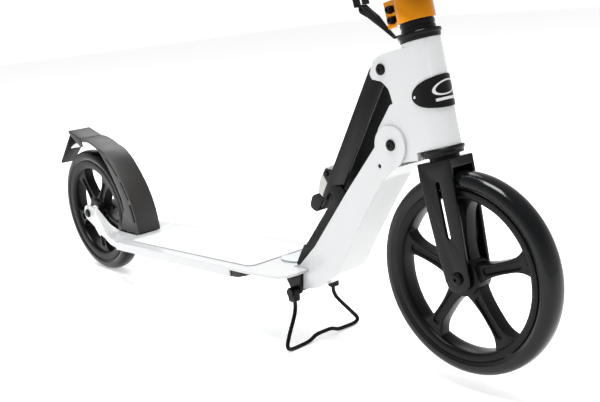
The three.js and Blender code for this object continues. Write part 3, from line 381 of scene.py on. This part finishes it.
def tyre(name, wheel):
    r, h, rim = wheel["radius"], wheel["half"], wheel["rim"]
    half = [
        (rim + 0.1, 11.6), (rim + 1.2, 12.4), (rim + 2.2, 13.0), (rim + 4, 13.5), (r - 13, h - 0.15), (r - 10, h),
        (r - 7, h - 0.4), (r - 4.6, h - 1.7), (r - 2.6, h - 3.8), (r - 1.2, h - 6.6), (r - 0.35, h - 10), (r, h - 14),
    ]
    profile = [(a, -b) for a, b in half] + [(a, b) for a, b in reversed(half)]
    return turned(name, profile, wheel["centre"], side, level_x, 144)


def across_spoke(name, wheel, angle, outline, low, high):
    """A plate through an outline of (along the spoke, across it), from low to high along the axle."""
    along = level_x * math.cos(angle) + level_z * math.sin(angle)
    over = level_z * math.cos(angle) - level_x * math.sin(angle)
    start = wheel["centre"] + side * (low / 1000)
    points = [start + along * (p.x / 1000) + over * (p.y / 1000) for p in outline]
    return thick(name, points, side * ((high - low) / 1000))


def spoke(wheel, angle):
    opening, wide = wheel["open"], wheel["spoke"]
    half = [
        (19, wide * 1.6, 0), (27, wide * 1.25, 6), (opening * 0.5, wide * 0.92, 16), (opening - 17, wide, 10),
        (opening - 5, wide * 1.75, 9), (opening + 4, wide * 3.1, 0),
    ]
    outline = rounded([(x, -y, c) for x, y, c in half] + [(x, y, c) for x, y, c in reversed(half)], 5)
    made = across_spoke("spoke", wheel, angle, outline, -SPOKE_HALF_DEPTH, SPOKE_HALF_DEPTH)
    dip = [(27, wide * 0.6, 4), (opening * 0.5, wide * 0.5, 6), (opening - 10, wide * 0.62, 4)]
    sunk = rounded([(x, -y, c) for x, y, c in dip] + [(x, y, c) for x, y, c in reversed(dip)], 5)
    for low, high in ((-POCKET_REACH, -POCKET_FLOOR), (POCKET_FLOOR, POCKET_REACH)):
        tool = across_spoke("tool", wheel, angle, sunk, low, high)
        use_modifier(made, "BOOLEAN", object=tool, operation="DIFFERENCE", solver="EXACT")
        bpy.data.objects.remove(tool)
    soften(made, 1.1, 3, 30)
    return made


def rim(name, wheel):
    bead, opening = wheel["rim"] - 0.2, wheel["open"]
    ring = [(bead, -12), (bead - 0.5, -12.8), (bead - 3, -13.0), (opening + 3, -12.6), (opening + 1, -11.6)]
    ring += [(opening, -10), (opening - 0.8, -5), (opening - 1.0, 0)]
    ring += [(a, -b) for a, b in reversed(ring[:-1])]
    hub = [(11.3, -12.6), (13, -13), (19.5, -13), (21.5, -12.3), (22, -11), (22.6, 0)]
    hub += [(a, -b) for a, b in reversed(hub[:-1])]
    pieces = [turned("ring", ring, wheel["centre"], side, level_x, 128)]
    pieces.append(turned("hub", hub, wheel["centre"], side, level_x, 64))
    phase = math.radians(wheel["phase"])
    first = spoke(wheel, phase)
    pieces.append(first)
    for k in range(1, SPOKES):
        about = Matrix.Translation(wheel["centre"]) @ Matrix.Rotation(-math.tau * k / SPOKES, 4, side)
        pieces.append(copy_of(first, "spoke", about @ Matrix.Translation(-wheel["centre"])))
    made = joined(name, pieces)
    smooth(made, 40)
    return made


for which, wheel in WHEELS.items():
    done(tyre(f"{which}_tyre_finished", wheel), tyre_rubber, f"{which}_tyre")
    done(rim(f"{which}_rim_finished", wheel), black_plastic, f"{which}_rim")

# %% [markdown]
# Each bolt is a shaft with a low domed head at both ends and a round key socket in each head. The whole
# profile of a head, socket included, is spun at once.


# %% Bolt heads
def bolt_head(name, centre, outward, radius, height, socket):
    profile = [
        (0.001, 0), (radius, 0), (radius, height * 0.35), (radius * 0.94, height * 0.7),
        (radius * 0.8, height * 0.93), (radius * 0.62, height), (socket * 0.55, height * 1.0),
        (socket * 0.5, height * 0.45), (0.001, height * 0.4),
    ]
    return turned(name, profile, centre, outward, level_x, 36)


def bolt_pair(name, centre, reach, radius, height, socket, paint, *stands_for):
    shaft = turned(
        "shaft",
        [(0.001, -reach), (radius * 0.5, -reach), (radius * 0.5, reach), (0.001, reach)],
        centre, side, level_x, 24,
    )
    ends = [bolt_head("head", centre + side * (s * reach / 1000), side * s, radius, height, socket) for s in (1, -1)]
    made = joined(name, [shaft, *ends])
    smooth(made, 30)
    return done(made, paint, *stands_for)


bolt_pair("front_axle_bolt", front_axle, 20.15, 7.2, 3.4, 3.6, black_paint, "front_axle")
bolt_pair("rear_axle_bolt", rear_axle, 28.55, 7.2, 3.4, 3.6, black_paint, "rear_axle")
bolt_pair("fold_bolt_finished", level(-79, 0, 257.4), 24.35, 6.4, 2.3, 3.4, black_paint, "fold_bolt")
bolt_pair("strut_bolt_finished", level(-88.6, 0, 338.1), 21.2, 6.2, 2.1, 3.2, black_paint, "strut_bolt")
for height, which in ((293.15, "upper"), (282.15, "lower")):
    clamp_bolt = f"clamp_bolt_{which}"
    bolt_pair(f"{clamp_bolt}_finished", column(-26.75, 0, height), 8.35, 4.2, 4.0, 2.6, black_paint, clamp_bolt)

# %% [markdown]
# Pressed, bent and moulded pieces already have their true outline in the frame. Each gets a copy of its
# mesh whose doubled corners are merged and whose flat triangles are dissolved into whole faces, so that
# the curved walls can be shaded smoothly. EDGES gives the width, in millimetres, of the softened edges.


# %% Dressed copies of the frame's own shapes
def dressed(node, paint, edge):
    source = nodes[node]
    made = source.copy()
    made.data = source.data.copy()
    made.parent = None
    made.matrix_world = Matrix.Identity(4)
    made.name = f"{node}_finished"
    made.hide_render = False
    made.hide_viewport = False
    bpy.context.collection.objects.link(made)
    for key in list(made.keys()):
        del made[key]
    fresh()
    made.select_set(True)
    bpy.context.view_layer.objects.active = made
    bpy.ops.object.mode_set(mode="EDIT")
    bpy.ops.mesh.select_all(action="SELECT")
    bpy.ops.mesh.remove_doubles(threshold=0.000005)
    bpy.ops.mesh.dissolve_limited(angle_limit=math.radians(0.4))
    bpy.ops.object.mode_set(mode="OBJECT")
    if edge:
        soften(made, edge, 3, 32)
    smooth(made, 28)
    return done(made, paint, node)


EDGES = {
    "fork": 2.0, "strut": 1.2, "strut_channel": 0.9, "fender": 1.0,
    "fender_tail": 1.0, "rear_stay_left": 1.6, "rear_stay_right": 1.6, "latch_knob": 3.0, "latch_lever": 1.0,
    "column_clamp": 0.8, "stand_knuckle_left": 1.6, "stand_knuckle_right": 1.6, "quick_release_lever": 1.5,
    "quick_release_clamp": 0.8, "strap_hook": 1.2, "mud_flap": 0.8, "stem_rest_pad": 1.2, "deck_plug_left": 1.0,
    "deck_plug_right": 1.0, "strap_ring": 0.8, "handle_post": 0.6,
}
DRESSED = {
    "deck": white_paint, "neck": white_paint, "head_shell": white_paint, "rear_stay_left": white_paint,
    "rear_stay_right": white_paint, "handle_post": white_paint, "strut_channel": black_paint, "strut": cast_black,
    "fork": cast_black, "fender": fender_black, "fender_tail": fender_black, "brake_plate": steel,
    # The deck plugs are painted shade: black pieces that fill the deck's hollow front corners, where the dark is the
    # shade inside the hollow.
    "mud_flap": soft_rubber, "deck_plug_left": black_plastic, "deck_plug_right": black_plastic,
    "deck_grip_pad": pad_rubber, "stem_rest_pad": grey_rubber, "stand_knuckle_left": black_plastic,
    "stand_knuckle_right": black_plastic, "stand_bracket_left": black_paint, "stand_bracket_right": black_paint,
    "stand_pin": black_paint, "fender_pin": steel, "latch_lever": alloy, "latch_knob": soft_rubber,
    "latch_pin": black_paint, "strut_foot_pin": black_paint,
    "column_clamp": gold, "strap_hook": black_plastic, "strap_ring": black_plastic,
    "strap_strand_front": webbing, "strap_strand_rear": webbing, "quick_release_clamp": black_paint,
    "quick_release_bolt": steel, "quick_release_lever": black_plastic, "headset_bearing_lower": steel,
    "headset_bearing_upper": steel, "front_bearing_left": steel, "front_bearing_right": steel,
    "rear_bearing_left": steel, "rear_bearing_right": steel,
}
shown = {node: dressed(node, paint, EDGES.get(node, 0.0)) for node, paint in DRESSED.items()}

# %% [markdown]
# The strut is an open channel. Its inside faces get a lighter black, a painted sheen that stands in for
# the light from behind catching the inside of it. The small through pin in the neck fills its hole.

# %% Strut's inside and the neck's pin
STRUT_INSIDE = 0.0152  # faces nearer the middle plane than this are the inside
inside = shown["strut"].data
inside.materials.append(painted_sheen_black)
# Faces inside the channel take the lighter black of the painted sheen.
for face in inside.polygons:
    if max(abs(inside.vertices[v].co.y) for v in face.vertices) < STRUT_INSIDE:
        face.material_index = 1
pin_profile = [(0.001, -22.5), (2.3, -22.5), (2.3, 22.5), (0.001, 22.5)]
pin = turned("neck_pin", pin_profile, level(-98.8, 0, 233.1), side, level_x, 20)
pin.data.materials.clear()
pin.data.materials.append(black_paint)
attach(pin, body_of_node["neck"])
print("strut's inside and the neck's pin")

# %% [markdown]
# Along the steering axis everything is turned on a lathe: two headset cups with a thin lip and a
# tapering skirt, the nut, the white column, the crossbar and the ribbed rubber grips.

# %% Headset, column and handlebar
GAP = 0.35
HEAD_BOTTOM, HEAD_TOP = 141.0, 254.0
cup = [
    (15.3, 0), (21.4, 0), (21.8, 0.8), (22.0, 3.6), (23.1, 5.0), (23.5, 6.0), (23.5, 7.6), (22.9, 8.45), (15.3, 8.45),
]
lip = [
    (15.3, 0), (22.9, 0), (23.5, 0.8), (23.5, 2.6), (23.1, 3.6), (22.0, 4.9), (21.8, 7.7), (21.4, 8.45), (15.3, 8.45),
]
low = turned("lower_headset_cup", lip, column(0, 0, HEAD_BOTTOM - GAP), -steer_axis, column_x, 80)
done(low, black_paint, "headset_cup_lower")
high = turned("upper_headset_cup", cup, column(0, 0, HEAD_TOP + GAP), steer_axis, column_x, 80)
done(high, black_paint, "headset_cup_upper")
nut = [
    (14.7, 0), (18.0, 0), (18.4, 0.6), (18.4, 3.6), (17.7, 4.2),
    (17.7, 5.2), (18.4, 5.8), (18.4, 9.9), (17.9, 10.5), (14.7, 10.5),
]
done(turned("headset_lock_nut", nut, column(0, 0, 263.15), steer_axis, column_x, 80), black_paint, "headset_nut")
tube = [(15, 274), (17, 274), (17, 599.4), (16.6, 600), (15, 600)]
done(turned("column_tube", tube, column(0, 0, 0), steer_axis, column_x, 96), white_paint, "column")

BAR = column(0, 0, 850)
bar = [(9.2, -235), (10.6, -235), (11, -234.6), (11, 234.6), (10.6, 235), (9.2, 235)]
done(turned("crossbar_tube", bar, BAR, side, column_x, 64), black_paint, "crossbar")


def grip(direction):
    profile = [(11.35, 117), (19.4, 117), (20, 117.6), (20, 121.2), (19.2, 122), (16.4, 122.6)]
    z = 124.0
    while z < 228:
        profile += [(15.2, z), (15.2, z + 1.0), (16.0, z + 1.6), (16.0, z + 3.6)]
        z += 4.2
    profile += [(16.4, 232), (16.4, 237), (15.2, 239), (12, 239.35)]
    profile += [(0.001, 239.35), (0.001, 235.5), (11.35, 235.5)]
    return turned("grip", profile, BAR, side * direction, column_x, 64)


for direction, which in ((1, "left"), (-1, "right")):
    made = grip(direction)
    made.name = f"grip_{which}_finished"
    done(made, soft_rubber, f"grip_{which}")

# %% [markdown]
# The stand is one steel wire bent in a wide loop, with a foot at each corner and a raised middle. It is
# drawn as a smooth path with a round section, then turned into a mesh and closed at its two ends.

# %% Stand wire
PIVOT_X, PIVOT_Z = -262.0, 59.5
FOOT = -11.2 - PIVOT_Z
half_path = [
    (0, 35, -6.6), (0, 35, -20), (1.5, 39, -30), (8, 59, FOOT + 14), (11, 64, FOOT + 4.5),
    (11, 58.5, FOOT + 0.3), (11, 42, FOOT), (11, 27, FOOT + 1), (11, 14, FOOT + 5.5),
]
path = [(x, -y, z) for x, y, z in half_path]
path += [(11, 0, FOOT + 6.2)] + half_path[::-1]
curve = bpy.data.curves.new("stand_wire", "CURVE")
curve.dimensions = "3D"
curve.bevel_depth = 0.0027
curve.bevel_resolution = 5
curve.use_fill_caps = True
spline = curve.splines.new("BEZIER")
spline.bezier_points.add(len(path) - 1)
places = [level(PIVOT_X + x, y, PIVOT_Z + z) for x, y, z in path]
for i, point in enumerate(spline.bezier_points):
    before = places[max(i - 1, 0)]
    after = places[min(i + 1, len(places) - 1)]
    pull = (after - before).normalized()
    point.co = places[i]
    point.handle_left = places[i] - pull * (places[i] - before).length / 3
    point.handle_right = places[i] + pull * (after - places[i]).length / 3
curve.resolution_u = 10
wire = bpy.data.objects.new("stand_loop", curve)
bpy.context.collection.objects.link(wire)
fresh()
wire.select_set(True)
bpy.context.view_layer.objects.active = wire
bpy.ops.object.convert(target="MESH")
smooth(wire, 60)
done(wire, black_paint, "stand_wire")

# %% [markdown]
# The badge is a thin oval that wraps the front of the head. It is laid out flat, as distance round the
# tube and height up it, and each point is then carried onto the wall. A plain ring and a bar are raised
# on it in white, and a small rivet sits at each tip.

# %% Badge
TUBE = 20.85
QUARTER = TUBE * math.pi / 2
TIP = QUARTER + 8.5
BADGE_HEIGHT, BADGE_HALF = 198.0, 17


def on_wall(s, w, lift):
    r = TUBE + lift
    if abs(s) <= QUARTER:
        angle = s / TUBE
        return column(r * math.cos(angle), r * math.sin(angle), w)
    return column(-(abs(s) - QUARTER), math.copysign(r, s), w)


def thickened(made, depth):
    """Turns a patch's faces outward and thickens it inward."""
    if sum(f.normal.dot(f.center - column(0, 0, BADGE_HEIGHT)) for f in made.data.polygons) < 0:
        made.data.flip_normals()
    use_modifier(made, "SOLIDIFY", thickness=depth / 1000, offset=-1)


def wrapped(name, shape, lift, depth, rings, spokes, hole=0.0):
    """A patch from its middle (or hole) to its rim; shape(angle, part) gives each point's (s, w)."""
    fresh()
    bpy.ops.mesh.primitive_grid_add(x_subdivisions=spokes, y_subdivisions=rings, size=2)
    made = bpy.context.object
    made.name = name
    for vertex in made.data.vertices:
        angle = (vertex.co.x + 1) / 2 * math.tau
        part = hole + (1 - hole) * (vertex.co.y + 1) / 2
        s, w = shape(angle, part)
        vertex.co = on_wall(s, w, lift)
    bpy.ops.object.mode_set(mode="EDIT")
    bpy.ops.mesh.select_all(action="SELECT")
    bpy.ops.mesh.remove_doubles(threshold=0.000004)
    bpy.ops.mesh.normals_make_consistent(inside=False)
    bpy.ops.object.mode_set(mode="OBJECT")
    thickened(made, depth)
    smooth(made, 35)
    return made


def oval(angle, part):
    return TIP * math.cos(angle) * part, BADGE_HEIGHT + BADGE_HALF * math.sin(angle) * part


def ring_mark(angle, part):
    s = 17 * math.cos(angle) * part
    return s, BADGE_HEIGHT + 3.5 + 7.6 * math.sin(angle) * part + s * 0.12


def bar_patch(low, high, s_low, s_high, lift, depth):
    """A plain bar laid round the head between two heights."""
    fresh()
    bpy.ops.mesh.primitive_grid_add(x_subdivisions=24, y_subdivisions=2, size=2)
    made = bpy.context.object
    made.name = "bar_mark"
    for vertex in made.data.vertices:
        across, up = (vertex.co.x + 1) / 2, (vertex.co.y + 1) / 2
        vertex.co = on_wall(s_low + (s_high - s_low) * across, low + (high - low) * up, lift)
    thickened(made, depth)
    return made


done(wrapped("badge_oval", oval, 1.35, 0.95, 8, 96), black_plastic, "badge")
marks = joined("badge_marks", [
    wrapped("ring_mark", ring_mark, 1.5, 0.3, 2, 72, 0.8),
    bar_patch(BADGE_HEIGHT - 9.6, BADGE_HEIGHT - 6.6, -15, 15, 1.5, 0.3),
])
marks.data.materials.clear()
marks.data.materials.append(white_paint)
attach(marks, "head")
rivet_profile = [(0.001, 0), (1.7, 0), (1.5, 0.5), (0.9, 0.9), (0.001, 1)]
for direction in (1, -1):
    spot = on_wall(direction * (TIP - 4), BADGE_HEIGHT, 1.3)
    rivet = turned("badge_rivet", rivet_profile, spot, side * direction, column_x, 20)
    rivet.data.materials.append(steel)
    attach(rivet, "head")
print("badge with its ring, bar and rivets")
